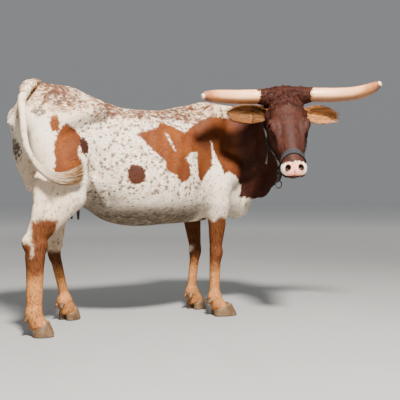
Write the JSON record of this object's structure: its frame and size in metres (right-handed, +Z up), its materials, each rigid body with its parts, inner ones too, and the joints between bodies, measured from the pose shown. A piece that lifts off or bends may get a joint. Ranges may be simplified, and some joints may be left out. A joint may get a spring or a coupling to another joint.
{
  "type": "texas longhorn",
  "caption": "Life-size standing longhorn cow with wide horns, a patched coat, a turned head, a slack rope headstall and a short chain under the chin.",
  "frame": {"origin": "centre of the bounding box on the ground under the hooves", "axes": "+X from the tail to the shoulders, +Y to the animal's left, +Z up"},
  "size_m": [1.812, 1.2358, 1.3659],
  "materials": {
    "coat": "short white hair with red-brown patches and ticking",
    "face": "short dark red-brown hair, curly on the poll",
    "shin": "short tan hair with pale patches",
    "tail_hair": "long coarse white and straw-coloured hair",
    "udder": "bare creased skin with dark teats",
    "horn": "smooth horn, cream at the base and amber to brown near the ends, semi-gloss",
    "hoof": "horny wall with growth rings, satin",
    "eye": "wet dark brown eyeball",
    "webbing": "worn grey rope and flat strap",
    "steel": "dull plated steel"
  },
  "bodies": {
    "root": {"torso": "coat", "neck": "face", "head": "face", "ear_left": "face", "ear_right": "face", "horn_left": "horn", "horn_right": "horn", "eye_left": "eye", "eye_right": "eye", "udder": "udder", "tail_dock": "coat", "tail_mid": "coat", "tail_switch": "tail_hair", "upper_leg_fore_right": "coat", "upper_leg_fore_left": "coat", "upper_leg_hind_right": "coat", "upper_leg_hind_left": "coat", "lower_leg_fore_right": "shin", "lower_leg_fore_left": "shin", "lower_leg_hind_right": "shin", "lower_leg_hind_left": "shin", "hoof_outer_fore_right": "hoof", "hoof_inner_fore_right": "hoof", "hoof_outer_fore_left": "hoof", "hoof_inner_fore_left": "hoof", "hoof_outer_hind_right": "hoof", "hoof_inner_hind_right": "hoof", "hoof_outer_hind_left": "hoof", "hoof_inner_hind_left": "hoof", "dewclaw_outer_fore_right": "hoof", "dewclaw_inner_fore_right": "hoof", "dewclaw_outer_fore_left": "hoof", "dewclaw_inner_fore_left": "hoof", "dewclaw_outer_hind_right": "hoof", "dewclaw_inner_hind_right": "hoof", "dewclaw_outer_hind_left": "hoof", "dewclaw_inner_hind_left": "hoof", "halter": "webbing", "chain_link_upper": "steel", "chain_link_lower": "steel", "chain_ring": "steel"}
  },
  "joints": []
}
